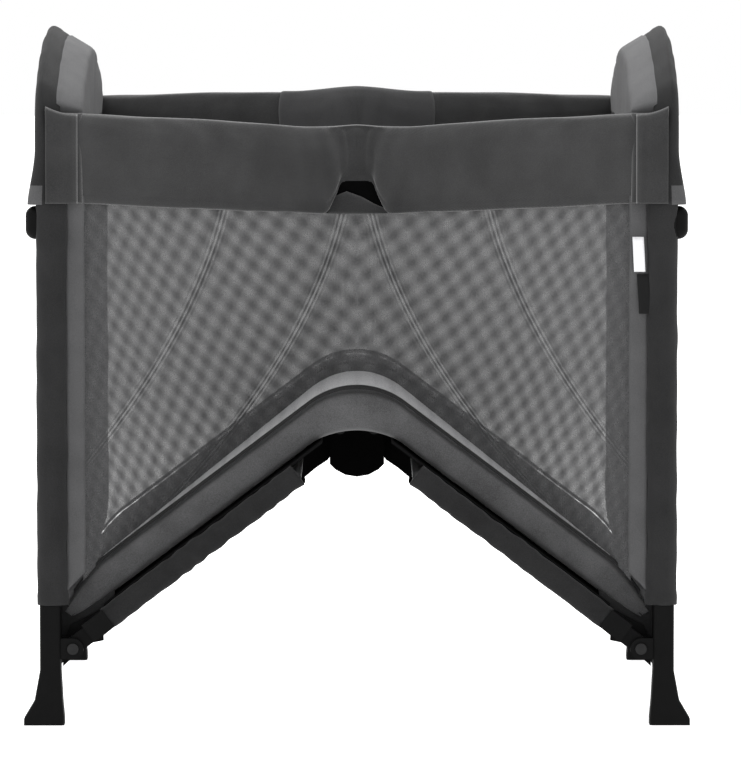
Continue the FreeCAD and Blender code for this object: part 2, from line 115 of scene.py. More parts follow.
def noise_node(tree, point, scale, detail=3.0):
    """Smooth noise from 0 to 1."""
    node = tree.nodes.new("ShaderNodeTexNoise")
    node.inputs["Scale"].default_value = scale
    node.inputs["Detail"].default_value = detail
    tree.links.new(point, node.inputs["Vector"])
    return node.outputs["Fac"]


def wave_node(tree, point, scale, direction):
    """Parallel threads in one direction."""
    node = tree.nodes.new("ShaderNodeTexWave")
    node.wave_type = "BANDS"
    node.bands_direction = direction
    node.inputs["Scale"].default_value = scale
    node.inputs["Distortion"].default_value = 0.4
    tree.links.new(point, node.inputs["Vector"])
    return node.outputs["Fac"]


def combine(tree, operation, first, second):
    """One step of arithmetic on values or sockets."""
    node = tree.nodes.new("ShaderNodeMath")
    node.operation = operation
    for socket, value in zip(node.inputs, (first, second)):
        if isinstance(value, (int, float)):
            socket.default_value = value
        else:
            tree.links.new(value, socket)
    return node.outputs[0]


def colour_ramp(tree, value, stops):
    """Colour between two stops."""
    node = tree.nodes.new("ShaderNodeValToRGB")
    for stop, (place, colour) in zip(node.color_ramp.elements, stops):
        stop.position = place
        stop.color = colour
    tree.links.new(value, node.inputs["Fac"])
    return node.outputs["Color"]


def bump(tree, shader, height, strength, distance):
    """Fine relief from a height."""
    node = tree.nodes.new("ShaderNodeBump")
    node.inputs["Strength"].default_value = strength
    node.inputs["Distance"].default_value = distance
    tree.links.new(height, node.inputs["Height"])
    tree.links.new(node.outputs["Normal"], shader.inputs["Normal"])


def cloth(name, grey, contrast=0.16, weave=420.0, sheen=0.06):
    """Woven cloth: a slightly mottled yarn colour and a fine crossed weave."""
    material, tree, shader = new_material(name, 0.92)
    shader.inputs["Sheen Weight"].default_value = sheen
    shader.inputs["Sheen Roughness"].default_value = 0.5
    shader.inputs["Specular IOR Level"].default_value = 0.08
    point = object_point(tree)
    mottle = combine(tree, "ADD", combine(tree, "MULTIPLY", noise_node(tree, point, 900, 2), 0.55),
                     combine(tree, "MULTIPLY", noise_node(tree, point, 22, 4), 0.45))
    stops = [(0.32, tint(grey * (1 - contrast))), (0.68, tint(grey * (1 + contrast)))]
    tree.links.new(colour_ramp(tree, mottle, stops), shader.inputs["Base Color"])
    threads = combine(tree, "MULTIPLY", wave_node(tree, point, weave, "DIAGONAL"),
                      wave_node(tree, point, weave, "Z"))
    height = combine(tree, "ADD", threads, combine(tree, "MULTIPLY", noise_node(tree, point, 160, 3), 0.6))
    bump(tree, shader, height, 0.35, 0.0006)
    return material


LOZENGE_GROWTH = 0.05            # how much narrower the net's lozenges are, a metre further out
LOZENGE_HEIGHT = 0.034
CREASE_TOP = 0.451               # height at which the creases' curves are measured
CREASE_WIDTH = 0.0075
CREASE_PITCH = 1150              # radians per metre of the folds inside a crease
CREASES = ((0.091, -0.603, 1.06), (0.244, -0.6, 0.95))   # distance from the middle, lean, curve


def netting(name, grey, opaque, lattice):
    """Fine knitted net. Its two layers of yarn cross in slanting lozenges, wider towards the middle
    of the side, and it is creased along two curves that run down from the middle of the rail."""
    material, tree, shader = new_material(name, 0.85)
    shader.inputs["Sheen Weight"].default_value = 0.05
    shader.inputs["Specular IOR Level"].default_value = 0.08
    point = object_point(tree)
    split = tree.nodes.new("ShaderNodeSeparateXYZ")
    tree.links.new(point, split.inputs[0])
    across = combine(tree, "ABSOLUTE", split.outputs["X"], 0)
    height = split.outputs["Z"]
    drift = combine(tree, "MULTIPLY", combine(tree, "SUBTRACT", noise_node(tree, point, 9, 2), 0.5), 2.4)
    leaning = combine(tree, "ADD", across, combine(tree, "MULTIPLY", height, -0.28))
    spread = combine(tree, "ADD", combine(tree, "MULTIPLY", leaning, -LOZENGE_GROWTH), 0.0274)
    phase = combine(tree, "MULTIPLY", combine(tree, "LOGARITHM", spread, math.e),
                    -2 * math.pi / LOZENGE_GROWTH)
    phase = combine(tree, "ADD", phase, drift)
    slant = combine(tree, "MULTIPLY", height, 2 * math.pi / LOZENGE_HEIGHT)
    rising = combine(tree, "COSINE", combine(tree, "ADD", phase, slant), 0)
    falling = combine(tree, "COSINE", combine(tree, "SUBTRACT", phase, slant), 0)
    lozenges = combine(tree, "ADD", rising, falling)
    creases = None
    # Each crease is a band of fine folds. It thins and thickens the net, and its folds also go into the
    # colour below as painted shade and painted highlight.
    for at, lean, curve in CREASES:
        up = combine(tree, "SUBTRACT", height, CREASE_TOP)
        bow = combine(tree, "MULTIPLY", combine(tree, "MULTIPLY", up, up), curve)
        line = combine(tree, "ADD", combine(tree, "ADD", combine(tree, "MULTIPLY", up, lean), bow), at)
        off = combine(tree, "SUBTRACT", across, line)
        share = combine(tree, "ABSOLUTE", combine(tree, "DIVIDE", off, CREASE_WIDTH), 0)
        far = combine(tree, "POWER", share, 2)
        fade = combine(tree, "POWER", math.e, combine(tree, "MULTIPLY", far, -1))
        folds = combine(tree, "COSINE", combine(tree, "MULTIPLY", off, CREASE_PITCH), 0)
        crease = combine(tree, "MULTIPLY", folds, fade)
        creases = crease if creases is None else combine(tree, "ADD", creases, crease)
    cells = tree.nodes.new("ShaderNodeTexVoronoi")
    cells.inputs["Scale"].default_value = 520
    cells.inputs["Randomness"].default_value = 0.3
    tree.links.new(point, cells.inputs["Vector"])
    yarn = combine(tree, "MULTIPLY", cells.outputs["Distance"], 0.12)
    alpha = combine(tree, "ADD", combine(tree, "MULTIPLY", lozenges, -lattice), yarn)
    alpha = combine(tree, "ADD", alpha, combine(tree, "MULTIPLY", creases, -2.4 * lattice))
    tree.links.new(combine(tree, "ADD", alpha, opaque - 0.06), shader.inputs["Alpha"])
    # Colour: the lozenges and the noise are the net's own varying tone; the creases add painted shade and
    # painted highlight of their folds.
    shade = combine(tree, "ADD", combine(tree, "MULTIPLY", lozenges, 0.12),
                    combine(tree, "MULTIPLY", creases, 0.35))
    shade = combine(tree, "ADD", shade, noise_node(tree, point, 500, 2))
    stops = [(0.2, tint(grey * 0.86)), (0.8, tint(grey * 1.14))]
    tree.links.new(colour_ramp(tree, shade, stops), shader.inputs["Base Color"])
    return material


def moulded(name, grey, roughness=0.6, specular=0.14):
    """Moulded plastic with a fine spark-eroded texture."""
    material, tree, shader = new_material(name, roughness)
    shader.inputs["Specular IOR Level"].default_value = specular
    point = object_point(tree)
    stops = [(0.3, tint(grey * 0.85)), (0.7, tint(grey * 1.15))]
    tree.links.new(colour_ramp(tree, noise_node(tree, point, 60, 4), stops), shader.inputs["Base Color"])
    bump(tree, shader, noise_node(tree, point, 1500, 2), 0.2, 0.0003)
    return material


def steel(name, grey, roughness, metallic):
    """Steel tube or pin, slightly mottled."""
    material, tree, shader = new_material(name, roughness, metallic)
    shader.inputs["Specular IOR Level"].default_value = 0.2
    point = object_point(tree)
    stops = [(0.35, tint(grey * 0.92)), (0.65, tint(grey * 1.08))]
    tree.links.new(colour_ramp(tree, noise_node(tree, point, 120, 4), stops), shader.inputs["Base Color"])
    bump(tree, shader, noise_node(tree, point, 700, 2), 0.1, 0.0002)
    return material


SLEEVE_CLOTH = cloth("sleeve_cloth", 39)
RAIL_CLOTH = cloth("rail_cloth", 42, 0.24, sheen=0.5)
CENTRE_CLOTH = cloth("centre_cloth", 72, 0.08, sheen=0.15)
LINING_CLOTH = cloth("lining_cloth", 94, 0.1)
BORDER_CLOTH = cloth("border_cloth", 77, 0.1)
BAND_CLOTH = cloth("mattress_cloth", 72, 0.2, sheen=0.15)
STRIP_CLOTH = cloth("strip_cloth", 34, 0.2)
NEAR_NET = netting("near_net", 78, 0.84, 0.05)
FAR_NET = netting("far_net", 72, 0.72, 0.010)
# The net lying on the mattress is the same yarn as the side nets, painted far lighter: painted light of
# the top light on its flat face.
PAINTED_LIGHT_SHELF_NET = netting("painted_light_shelf_net", 185, 0.6, 0.04)
NETS = {"near": NEAR_NET, "far": FAR_NET}
BLACK_PLASTIC = moulded("black_plastic", 7, 0.6, 0.08)
HUB_PLASTIC = moulded("hub_plastic", 5, 0.8, 0.02)
BOARD_PLASTIC = moulded("board_plastic", 12, 0.8, 0.05)
BUTTON_PLASTIC = moulded("button_plastic", 8, 0.6, 0.04)
FRAME_STEEL = steel("frame_steel", 50, 0.4, 0.3)
PIN_STEEL = steel("pin_steel", 30, 0.5, 0.3)
WHITE_LABEL = cloth("white_label", 226, 0.04)
BLACK_LABEL = cloth("black_label", 26, 0.08)


# ---- mesh building ----

def piece(name, vertices, faces, material):
    """Smooth-shaded object from points and faces."""
    mesh = bpy.data.meshes.new(name)
    mesh.from_pydata([tuple(point) for point in vertices], [], faces)
    mesh.validate()
    for polygon in mesh.polygons:
        polygon.use_smooth = True
    mesh.materials.append(material)
    obj = bpy.data.objects.new(name, mesh)
    bpy.context.scene.collection.objects.link(obj)
    return obj


def tube(name, rings, material, capped=(True, True)):
    """Skin through rings of points, closed flat at the ends that are capped."""
    count = len(rings[0])
    vertices = [point for ring in rings for point in ring]
    faces = []
    for row in range(len(rings) - 1):
        for column in range(count):
            after = (column + 1) % count
            faces.append((row * count + column, row * count + after, (row + 1) * count + after,
                          (row + 1) * count + column))
    last = (len(rings) - 1) * count
    if capped[0]:
        faces.append(tuple(reversed(range(count))))
    if capped[1]:
        faces.append(tuple(range(last, last + count)))
    return outward(piece(name, vertices, faces, material))


def sheet_of(name, rows, material):
    """Open sheet through rows of points."""
    width = len(rows[0])
    vertices = [point for row in rows for point in row]
    faces = []
    for row in range(len(rows) - 1):
        for column in range(width - 1):
            first = row * width + column
            faces.append((first, first + 1, first + width + 1, first + width))
    return piece(name, vertices, faces, material)


def outward(obj):
    """Joins points that coincide and turns every face of a skin outwards."""
    work = bmesh.new()
    work.from_mesh(obj.data)
    bmesh.ops.remove_doubles(work, verts=work.verts, dist=1e-6)
    bmesh.ops.recalc_face_normals(work, faces=work.faces)
    work.to_mesh(obj.data)
    work.free()
    return obj


def mirrored(point, end, side):
    """A point of the near left quarter, on the asked end and side."""
    return Vector((point[0] * -ENDS[end], point[1] * -SIDES[side], point[2]))


def superellipse(angle, half_width, half_height, power):
    """Point of a rounded box; a higher power makes it squarer."""
    cosine = math.cos(angle)
    sine = math.sin(angle)
    return (half_width * math.copysign(abs(cosine) ** (2 / power), cosine),
            half_height * math.copysign(abs(sine) ** (2 / power), sine))


def ripple(point, scale, seed=0.0):
    """Smooth noise from about -1 to 1."""
    return noise.noise(Vector(point) * scale + Vector((seed, seed * 1.7, -seed)))


def smooth_step(value):
    """Smooth rise from 0 to 1."""
    value = min(max(value, 0.0), 1.0)
    return value * value * (3 - 2 * value)


def between(first, second, share):
    """Value at a share of the way from the first to the second."""
    return first + (second - first) * share


# ---- end frames: leg sleeves, padded hoop, lining, wall and borders ----

def leg_sleeve_rings(end, side):
    """Cloth tube around a leg, loose at the hem and squarer over the corner moulding."""
    low = SLEEVE_LOW[2]
    high = CUFF_LOW + 0.012
    rings = []
    for row in range(90):
        z = between(low, high, row / 89)
        over_corner = smooth_step((z - 0.585) / 0.02)
        power = between(2.1, 3.4, over_corner)
        hem = 0.0007 * smooth_step((low + 0.016 - z) / 0.004)
        ring = []
        for column in range(40):
            angle = 2 * math.pi * column / 40
            radius = SLEEVE_RADIUS - 0.0012 + hem
            across, deep = superellipse(angle, radius, radius, power)
            across *= between(0.93, 1.24, smooth_step(across / radius + 0.5))
            loose = 0.0011 * ripple((across, deep, z * 0.5), 60, 3.0 + ENDS[end])
            loose += 0.0008 * ripple((across * 2, deep * 2, z), 26, 7.0)
            scale = 1 + loose / radius
            ring.append(mirrored((-LEG_X + across * scale, -LEG_Y + deep * scale, z), end, side))
        rings.append(ring)
    return rings


def joined(name, objects):
    """One object from several."""
    bpy.ops.object.select_all(action="DESELECT")
    for obj in objects:
        obj.select_set(True)
    bpy.context.view_layer.objects.active = objects[0]
    bpy.ops.object.join()
    objects[0].name = name
    objects[0].data.name = name
    return objects[0]


TURN_RADIUS = 0.045
CROWN_Z = HOOP_TOP - (HOOP_HIGH[1] - LEG_Y)
TURN_Y = LEG_Y - TURN_RADIUS
DROP = CROWN_Z - CORNER_TOP
CROWN_RADIUS = (TURN_Y**2 + DROP**2 - TURN_RADIUS**2) / (2 * (DROP - TURN_RADIUS))
LEAN = math.atan2(TURN_Y, CROWN_RADIUS - DROP)


def arch_stations(low, upright=8, step=0.012):
    """Points up the near leg, over the arch and down the far leg: (y, z, outward y, outward z)."""
    half = []
    for row in range(upright):
        half.append((-LEG_Y, between(low, CORNER_TOP, row / upright), -1.0, 0.0))
    for row in range(8):
        angle = between(math.pi / 2, LEAN, row / 8)
        half.append((-TURN_Y - TURN_RADIUS * math.sin(angle), CORNER_TOP + TURN_RADIUS * math.cos(angle),
                     -math.sin(angle), math.cos(angle)))
    centre_z = CROWN_Z - CROWN_RADIUS
    steps = int(LEAN * CROWN_RADIUS / step)
    for row in range(steps):
        angle = between(LEAN, 0, row / steps)
        half.append((-CROWN_RADIUS * math.sin(angle), centre_z + CROWN_RADIUS * math.cos(angle),
                     -math.sin(angle), math.cos(angle)))
    rest = [(-y, z, -out_y, out_z) for y, z, out_y, out_z in reversed(half)]
    return half + [(0.0, CROWN_Z, 0.0, 1.0)] + rest


def hoop_top(x):
    """Outward reach of the padded hoop: its top slopes down towards the inside of the playpen."""
    return 0.0195 - 0.656 * max(x + 0.389, 0.0)


def hoop_cover(end):
    """Padded cover of the arch, with a sewn seam along its middle, down to flared cuffs."""
    half_x = 0.0157
    half_out = 0.0182
    centre_x = -(LEG_X + 0.0015)
    rings = []
    for y, z, out_y, out_z in arch_stations(CUFF_LOW, 16):
        ring = []
        flare = 0.009 * smooth_step((0.716 - z) / 0.075)
        over_rail = smooth_step((z - 0.735) / 0.02)
        for column in range(44):
            angle = 2 * math.pi * column / 44
            across, out = superellipse(angle, half_x, half_out, 3.0)
            if out > 0:
                out *= between(1.0, hoop_top(centre_x + across) / half_out, over_rail)
            seam = 0.0011 * math.exp(-((across - 0.003) / 0.0016) ** 2) if out > 0 else 0.0
            puff = 0.0010 * ripple((y, z, across * 4), 24, 11.0)
            scale = 1 + puff / half_x
            x = centre_x + across * scale
            if across < 0:
                x -= flare * (-across / half_x)
            out = out * scale - seam
            ring.append(mirrored((x, y + out_y * out, z + out_z * out), end, "near"))
        rings.append(ring)
    obj = tube(f"hoop_cover_{end}", rings, SLEEVE_CLOTH)
    obj.data.materials.append(BORDER_CLOTH)
    for polygon in obj.data.polygons:
        if polygon.center.z < CUFF_LOW + 0.021 and abs(polygon.center.x) > LEG_X + 0.008:
            polygon.material_index = 1
    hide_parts(f"end_hoop_{end}")
    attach(obj, f"end_{end}")


LINING_LOW = 0.127               # lower hem of the padded panel
LINING_X = 0.339                 # face of the padded panel inside each end
LINING_BACK = 0.387              # back of the padded panel

# Section of the panel's edge, from its back round to its face: (share of the thickness, inwards).
LINING_EDGE = ((0.0, 0.012), (0.0, 0.0), (0.2, 0.0), (0.42, 0.0), (0.58, 0.0046), (0.75, 0.0095),
               (0.9, 0.0140), (0.96, 0.0162), (0.99, 0.0190), (1.0, 0.0230), (1.0, 0.034))


def end_lining(end):
    """Padded panel that fills the inside of an end, from the arch down to a rounded hem."""
    rows = []
    for y, z, out_y, out_z in arch_stations(LINING_LOW, 44):
        rim = between(-0.0205, 0.0062, smooth_step((z - 0.757) / 0.010))
        hem = min((z - LINING_LOW) / 0.10, 1.0)
        fuller = 0.006 * smooth_step((0.66 - z) / 0.05)
        depth = (LINING_BACK - LINING_X + fuller) * math.sqrt(1 - (1 - hem) ** 2)
        centre = Vector((0, min(z, CORNER_TOP)))
        line = [(0.0, centre.x, centre.y)]
        for share, inwards in LINING_EDGE:
            out = rim - inwards
            line.append((share, y + out_y * out, z + out_z * out))
        edge = Vector(line[-1][1:])
        for step in range(1, 15):
            inner = edge.lerp(centre, step / 14)
            line.append((1.0, inner.x, inner.y))
        row = []
        for share, at_y, at_z in line:
            puff = share * (0.0012 * ripple((at_y, at_z, ENDS[end]), 26, 5.0)
                            + 0.003 * ripple((at_y, at_z, 0), 7, 8.0))
            row.append(mirrored((-LINING_BACK + depth * share + puff * hem, at_y, at_z), end, "near"))
        rows.append(row)
    obj = outward(sheet_of(f"end_lining_{end}", rows, LINING_CLOTH))
    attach(obj, f"end_{end}")
    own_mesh(obj)


HOOP_INNER = 0.017               # from the arch tube's centre line in to the hoop's inner edge


def wall_top(y):
    """Height of the hoop's inner edge above a point of the wall."""
    centre_z = CROWN_Z - CROWN_RADIUS
    radius = CROWN_RADIUS - HOOP_INNER
    if abs(y) < TURN_Y:
        return centre_z + math.sqrt(radius**2 - y**2)
    turn = TURN_RADIUS - HOOP_INNER
    over = min(abs(y) - TURN_Y, turn * 0.999)
    return CORNER_TOP + math.sqrt(turn**2 - over**2)


def end_wall(end):
    """Cloth wall inside the hoop, slightly slack, with a hem along the floor side."""
    low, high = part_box("end_wall_left")
    reach = TURN_Y + (TURN_RADIUS - HOOP_INNER) * 0.98
    rows = []
    columns = 60
    for row in range(61):
        line = []
        for column in range(columns + 1):
            y = between(low[1], high[1], column / columns)
            y = max(min(y, reach), -reach)
            z = between(low[2], wall_top(y), row / 60)
            slack = math.sin(math.pi * column / columns) * math.sin(math.pi * min(row / 55, 1))
            x = (low[0] + high[0]) / 2 + 0.004 * slack * (0.5 + ripple((y, z, 0), 6, 2.0))
            x += 0.0012 * ripple((y, z, 0), 28, 9.0)
            line.append(mirrored((x, y, z), end, "near"))
        rows.append(line)
    obj = sheet_of(f"end_wall_cloth_{end}", rows, LINING_CLOTH)
    thicken(obj, 0.0016)
    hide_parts(f"end_wall_{end}")
    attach(obj, f"end_{end}")


def thicken(obj, thickness):
    """Gives a sheet its real thickness, half to each side."""
    modifier = obj.modifiers.new("thickness", "SOLIDIFY")
    modifier.thickness = thickness
    modifier.offset = 0
    bpy.context.view_layer.objects.active = obj
    bpy.ops.object.modifier_apply(modifier=modifier.name)


def border_strip(end, side):
    """Light cloth strip beside the leg, that the mesh is sewn to."""
    low_out, low_in = 0.167, 0.190
    high = RAIL_Z + BAND_LOW + 0.01
    outer = LEG_X - SLEEVE_RADIUS - 0.0020
    rows = []
    for row in range(61):
        line = []
        for column in range(7):
            share = column / 6
            z = between(between(low_out, low_in, share), high, row / 60)
            x = -between(outer, BORDER_IN, share) + 0.0009 * share * ripple((0, 0, z), 22, 4.0)
            y = -LEG_Y - 0.004 + 0.0012 * ripple((x, 0, z), 35, 6.0) - 0.0012 * math.sin(math.pi * share)
            line.append(mirrored((x, y, z), end, side))
        rows.append(line)
    obj = sheet_of(f"border_{side}_{end}", rows, BORDER_CLOTH)
    thicken(obj, 0.0018)
    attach(obj, f"end_{end}")


def label(name, end, material, centre_x, z_low, z_high, width, lean):
    """Blank care label sewn to the border."""
    rows = []
    for row in range(9):
        share = row / 8
        z = between(z_low, z_high, share)
        line = []
        for column in range(5):
            x = centre_x + (column / 4 - 0.5) * width + lean * (share - 0.5)
            curl = 0.0025 * math.sin(math.pi * (1 - share) / 1.6)
            y = -LEG_Y - 0.0075 - curl - 0.0006 * math.cos(column * 1.3)
            line.append(Vector((x, y, z)))
        rows.append(line)
    obj = sheet_of(name, rows, material)
    thicken(obj, 0.0006)
    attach(obj, f"end_{end}")


# ---- top rails and mesh sides ----

def tilt_of(side):
    """Lean of a rail's folding plane: positive where the rail drops as it folds in."""
    axis = JOINTS[f"rail_{side}_fold"]["axis"]
    return math.atan2(axis[1], abs(axis[2]))


RAIL_RUN = (PIVOT_X - PIN_X) / math.cos(SLOPE)
SOFT_BEND = 0.035                # the cover is bent that widely at the middle of the rail
KNUCKLE_END = 0.0142             # the cover is rounded about the corner hinge


def rail_plan():
    """Plan line of the near left rail, from the corner hinge to the middle: (x, inward, direction,
    fullness)."""
    stations = []
    for row in range(8):
        angle = math.pi / 2 * (1 - row / 8)
        run = -KNUCKLE_END * math.sin(angle)
        stations.append((-PIVOT_X + run * math.cos(SLOPE), run * math.sin(SLOPE), SLOPE,
                         max(math.cos(angle), 0.02)))
    corner = SOFT_BEND * math.tan(SLOPE / 2)
    straight = RAIL_RUN - corner
    for row in range(60):
        run = straight * (row / 60) ** 0.8
        stations.append((-PIVOT_X + run * math.cos(SLOPE), run * math.sin(SLOPE), SLOPE, 1.0))
    top = RAIL_RUN * math.sin(SLOPE)
    for row in range(9):
        angle = SLOPE * (1 - row / 8)
        x = -PIN_X + corner - SOFT_BEND * math.sin(angle)
        stations.append((x, top - SOFT_BEND * (1 - math.cos(angle)), angle, 1.0))
    for row in range(1, 7):
        stations.append((between(-PIN_X + corner, 0.0, row / 6), top, 0.0, 1.0))
    return stations


def rail_point(station, height, thick, side, end):
    """Point of a rail's cover: height along the hinge pin, thick towards the inside."""
    x, inward, angle, full = station
    thick *= full
    tilt = tilt_of(side)
    x -= thick * math.sin(angle)
    inward += thick * math.cos(angle)
    return mirrored((x, -LEG_Y + inward * math.cos(tilt) + height * math.sin(tilt),
                     RAIL_Z - inward * math.sin(tilt) + height * math.cos(tilt)), end, side)


def notch(x):
    """How far the lower hem rises at the middle of the rail, around the latch."""
    return 0.040 * smooth_step((0.046 - abs(x)) / 0.026)


def cover_section(station, end, side, grow=0.0):
    """Ring of the padded band: a full rounded top, a thinner skirt and a sewn lower hem."""
    x = station[0]
    inner_end = math.exp(-(x / 0.05) ** 2)
    low = BAND_LOW + notch(x)
    ring = []
    count = 48
    for column in range(count):
        angle = 2 * math.pi * column / count
        across, up = superellipse(angle, 1.0, 1.0, 3.6)
        share = (up + 1) / 2
        height = between(low - grow, BAND_HIGH + grow, share)
        full = (height - BAND_LOW) / (BAND_HIGH - BAND_LOW)
        half = between(0.0095, 0.0148, smooth_step((full - 0.42) / 0.4)) + grow
        half -= 0.0016 * math.exp(-((share - 0.09) / 0.025) ** 2)
        wide = 0.0016 * ripple((x * 1.3, height, ENDS[end]), 20, 3.0)
        fine = 0.0007 * ripple((x, height * 2, 0), 46, 8.0)
        half += wide + fine
        half += 0.0012 * inner_end * math.sin(x * 260 + height * 60)
        if up > 0:
            crest = 0.003 * math.exp(-(x / 0.03) ** 2)
            height += crest - 0.0022 * math.exp(-((abs(x) - 0.075) / 0.03) ** 2)
        height += 0.0014 * ripple((x, 0, up), 13, 12.0)
        thick = across * half
        if across < 0:
            thick += pinch(x, height)
            clear_of_latch = between(0.0090, 0.0121, smooth_step((height + 0.024) / 0.006))
            if abs(x) < 0.038 and across < -0.55:
                thick = min(thick, -clear_of_latch)
        ring.append(rail_point(station, height, thick, side, end))
    return ring


def pinch(x, height):
    """Depth of the cover's front at the middle of the rail: a fold above the latch, between two
    fuller lobes."""
    apex = 0.012
    widest = -0.040
    share = (apex - height) / (apex - widest)
    if share <= 0:
        return 0.0
    share = min(share, 1.0)
    half_width = 0.005 + 0.028 * share
    fold = max(0.0, 1 - (abs(x) / half_width) ** 1.5)
    lobe = math.exp(-((abs(x) - half_width - 0.012) / 0.020) ** 2)
    crease = math.exp(-((x - 0.033) / 0.0035) ** 2) * math.exp(-((height + 0.006) / 0.010) ** 2)
    return 0.0024 * fold * min(share * 1.5, 1.0) - 0.0045 * lobe * min(share * 2, 1.0) - 0.002 * crease


def rail_soft(name, stations, side, end, grow, material):
    """Padding along a rail half, along the rail's plan line and clear of the latch bracket in the middle.
    """
    rings = [cover_section(station, end, side, grow) for station in stations]
    obj = tube(name, rings, material, (True, False))
    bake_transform(obj)
    return obj


def rail_cover(side, end):
    """Padded band of a rail half, and the short fixed piece that joins it to the hoop."""
    fixed = []
    for row in range(5):
        fixed.append((between(-LEG_X + 0.0125, -PIVOT_X, row / 5), 0.0, 0.0, 0.96))
    for row in range(8):
        angle = math.pi / 2 * row / 7
        fixed.append((-PIVOT_X + 0.96 * KNUCKLE_END * math.sin(angle), 0.0, 0.0,
                      max(0.96 * math.cos(angle), 0.02)))
    corner = tube(f"rail_corner_{side}_{end}", [cover_section(s, end, side) for s in fixed], RAIL_CLOTH)
    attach(corner, f"end_{end}")
    band = rail_soft(f"rail_band_{side}_{end}", rail_plan(), side, end, 0.0, RAIL_CLOTH)
    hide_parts(f"rail_cover_{side}_{end}")
    if side == "far":
        stations = [station for station in rail_plan() if station[0] > -0.094]
        rail_soft(f"rail_wrap_{side}_{end}", stations, side, end, 0.0016, CENTRE_CLOTH)


def rail_patch(side, end):
    """Front of the rail cover where it is drawn round the hoop and sewn to it."""
    rows = []
    for row in range(15):
        share = row / 14
        x = between(-0.3835, -0.3445, share)
        front = between(-0.3522, -0.3500, smooth_step((x + 0.366) / 0.014))
        front += 0.75 * max(x + 0.352, 0.0)
        line = []
        for column in range(31):
            up = column / 30
            top = RAIL_Z + BAND_HIGH - 0.002 + 0.010 * (1 - share) ** 2
            z = between(RAIL_Z + BAND_LOW + 0.0005, top, up)
            edge = 0.008 * max(up - 0.88, 0.0) / 0.12
            y = front + edge**2 * 90 + 0.0006 * ripple((x, z, 0), 30, 6.0)
            line.append(mirrored((x, y, z), end, side))
        rows.append(line)
    obj = sheet_of(f"rail_patch_{side}_{end}", rows, RAIL_CLOTH)
    thicken(obj, 0.0016)
    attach(obj, f"end_{end}")


# Upper edge of the cloth flap below the latch, from left to right: (x, z).
FLAP_TOP = ((-0.045, 0.6275), (-0.030, 0.6440), (-0.013, 0.6510), (0.006, 0.6440), (0.024, 0.6340),
            (0.036, 0.6290), (0.048, 0.6262))


def latch_place(side):
    """Outer face of a latch housing, as seen from its own side, and how far it is above the near one."""
    low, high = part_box(f"rail_bracket_{side}")
    front = low[1] if side == "near" else -high[1]
    return front, low[2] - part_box("rail_bracket_near")[0][2]


def latch_flap(side):
    """Small cloth flap that closes the cover's notch from below."""
    front, lift = latch_place(side)
    rows = []
    for (x, top), (next_x, next_top) in zip(FLAP_TOP, FLAP_TOP[1:]):
        for step in range(4):
            at = between(x, next_x, step / 4)
            high = between(top, next_top, step / 4) + lift
            line = []
            for share in (0, 0.25, 0.5, 0.75, 1):
                out = front - 0.0012 + 0.004 * abs(at / 0.04) ** 2 - 0.001 * math.sin(math.pi * share)
                line.append(Vector((at, -SIDES[side] * out, between(0.6225 + lift, high, share))))
            rows.append(line)
    obj = sheet_of(f"latch_flap_{side}", rows, RAIL_CLOTH)
    thicken(obj, 0.0012)
    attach(obj, f"bracket_{side}")


def latch_painted_shade(side):
    """Black sheet behind the notch, beside the latch housing: painted shade for the hollow of the opening.
    """
    front, lift = latch_place(side)
    rows = []
    for step in range(21):
        x = between(-0.043, 0.043, step / 20)
        rows.append([Vector((x, -SIDES[side] * (front + 0.0012), between(0.6235, 0.6640, up / 6) + lift))
                     for up in range(7)])
    # The sheet takes the darkest plastic finish, as painted shade of the hollow behind the notch.
    obj = sheet_of(f"latch_painted_shade_{side}", rows, HUB_PLASTIC)
    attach(obj, f"bracket_{side}")


def base_line(x, above):
    """Height of a line parallel to the left half of the base, above it, square to the slope."""
    return FOOT_PIVOT.z + (x + PIVOT_X) * math.tan(SLOPE) + above / math.cos(SLOPE)


def rounded_base(x, above, bend):
    """The same line, rounded over the hub with a bend of that radius."""
    reach = bend * math.sin(SLOPE)
    if x <= -reach:
        return base_line(x, above)
    apex = base_line(0, above) - bend * (1 / math.cos(SLOPE) - 1)
    return apex - bend + math.sqrt(bend**2 - x**2)


def mesh_side(side, end):
    """Net leaf below a rail half. It hangs in the rail's plan line and ends on the mattress."""
    stations = [station for station in rail_plan() if station[0] > -BORDER_IN - 0.006]
    tilt = tilt_of(side)
    rows = []
    for station in stations:
        x, inward = station[:2]
        top = RAIL_Z + BAND_LOW + notch(x) - inward * math.sin(tilt) + 0.012
        bottom = mattress_top(x) - 0.002
        line = []
        for row in range(61):
            z = between(top, bottom, row / 60)
            fullness = math.sin(math.pi * min(row / 50, 1))
            out = 0.004 * fullness * ripple((x, 0, z), 7, 1.0)
            line.append(mirrored((x, -LEG_Y + inward - out, z), end, side))
        rows.append(line)
    net = sheet_of(f"mesh_net_{side}_{end}", rows, NETS[side])
    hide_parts(f"mesh_side_{side}_{end}")
    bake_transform(net)


def with_mattress(obj):
    """Bakes the object's placement into its mesh, as for the mattress."""
    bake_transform(obj)


def mesh_shelf(side, end):
    """Slack net that lies on the mattress between the hanging leaf and the long edge. Its finish is a
    lighter copy of the side net, with painted light for the top light it catches.
    """
    rows = []
    for station in rail_plan():
        x, inward = station[:2]
        if x < -0.335 or inward < 0.024:
            continue
        inner = -LEG_Y + inward
        line = []
        for row in range(9):
            y = between(inner, -0.3085, row / 8)
            line.append(mirrored((x, y, mattress_top(x) + 0.0026 - 0.0014 * (row == 8)), end, side))
        rows.append(line)
    obj = sheet_of(f"mesh_shelf_{side}_{end}", rows, PAINTED_LIGHT_SHELF_NET)
    with_mattress(obj)


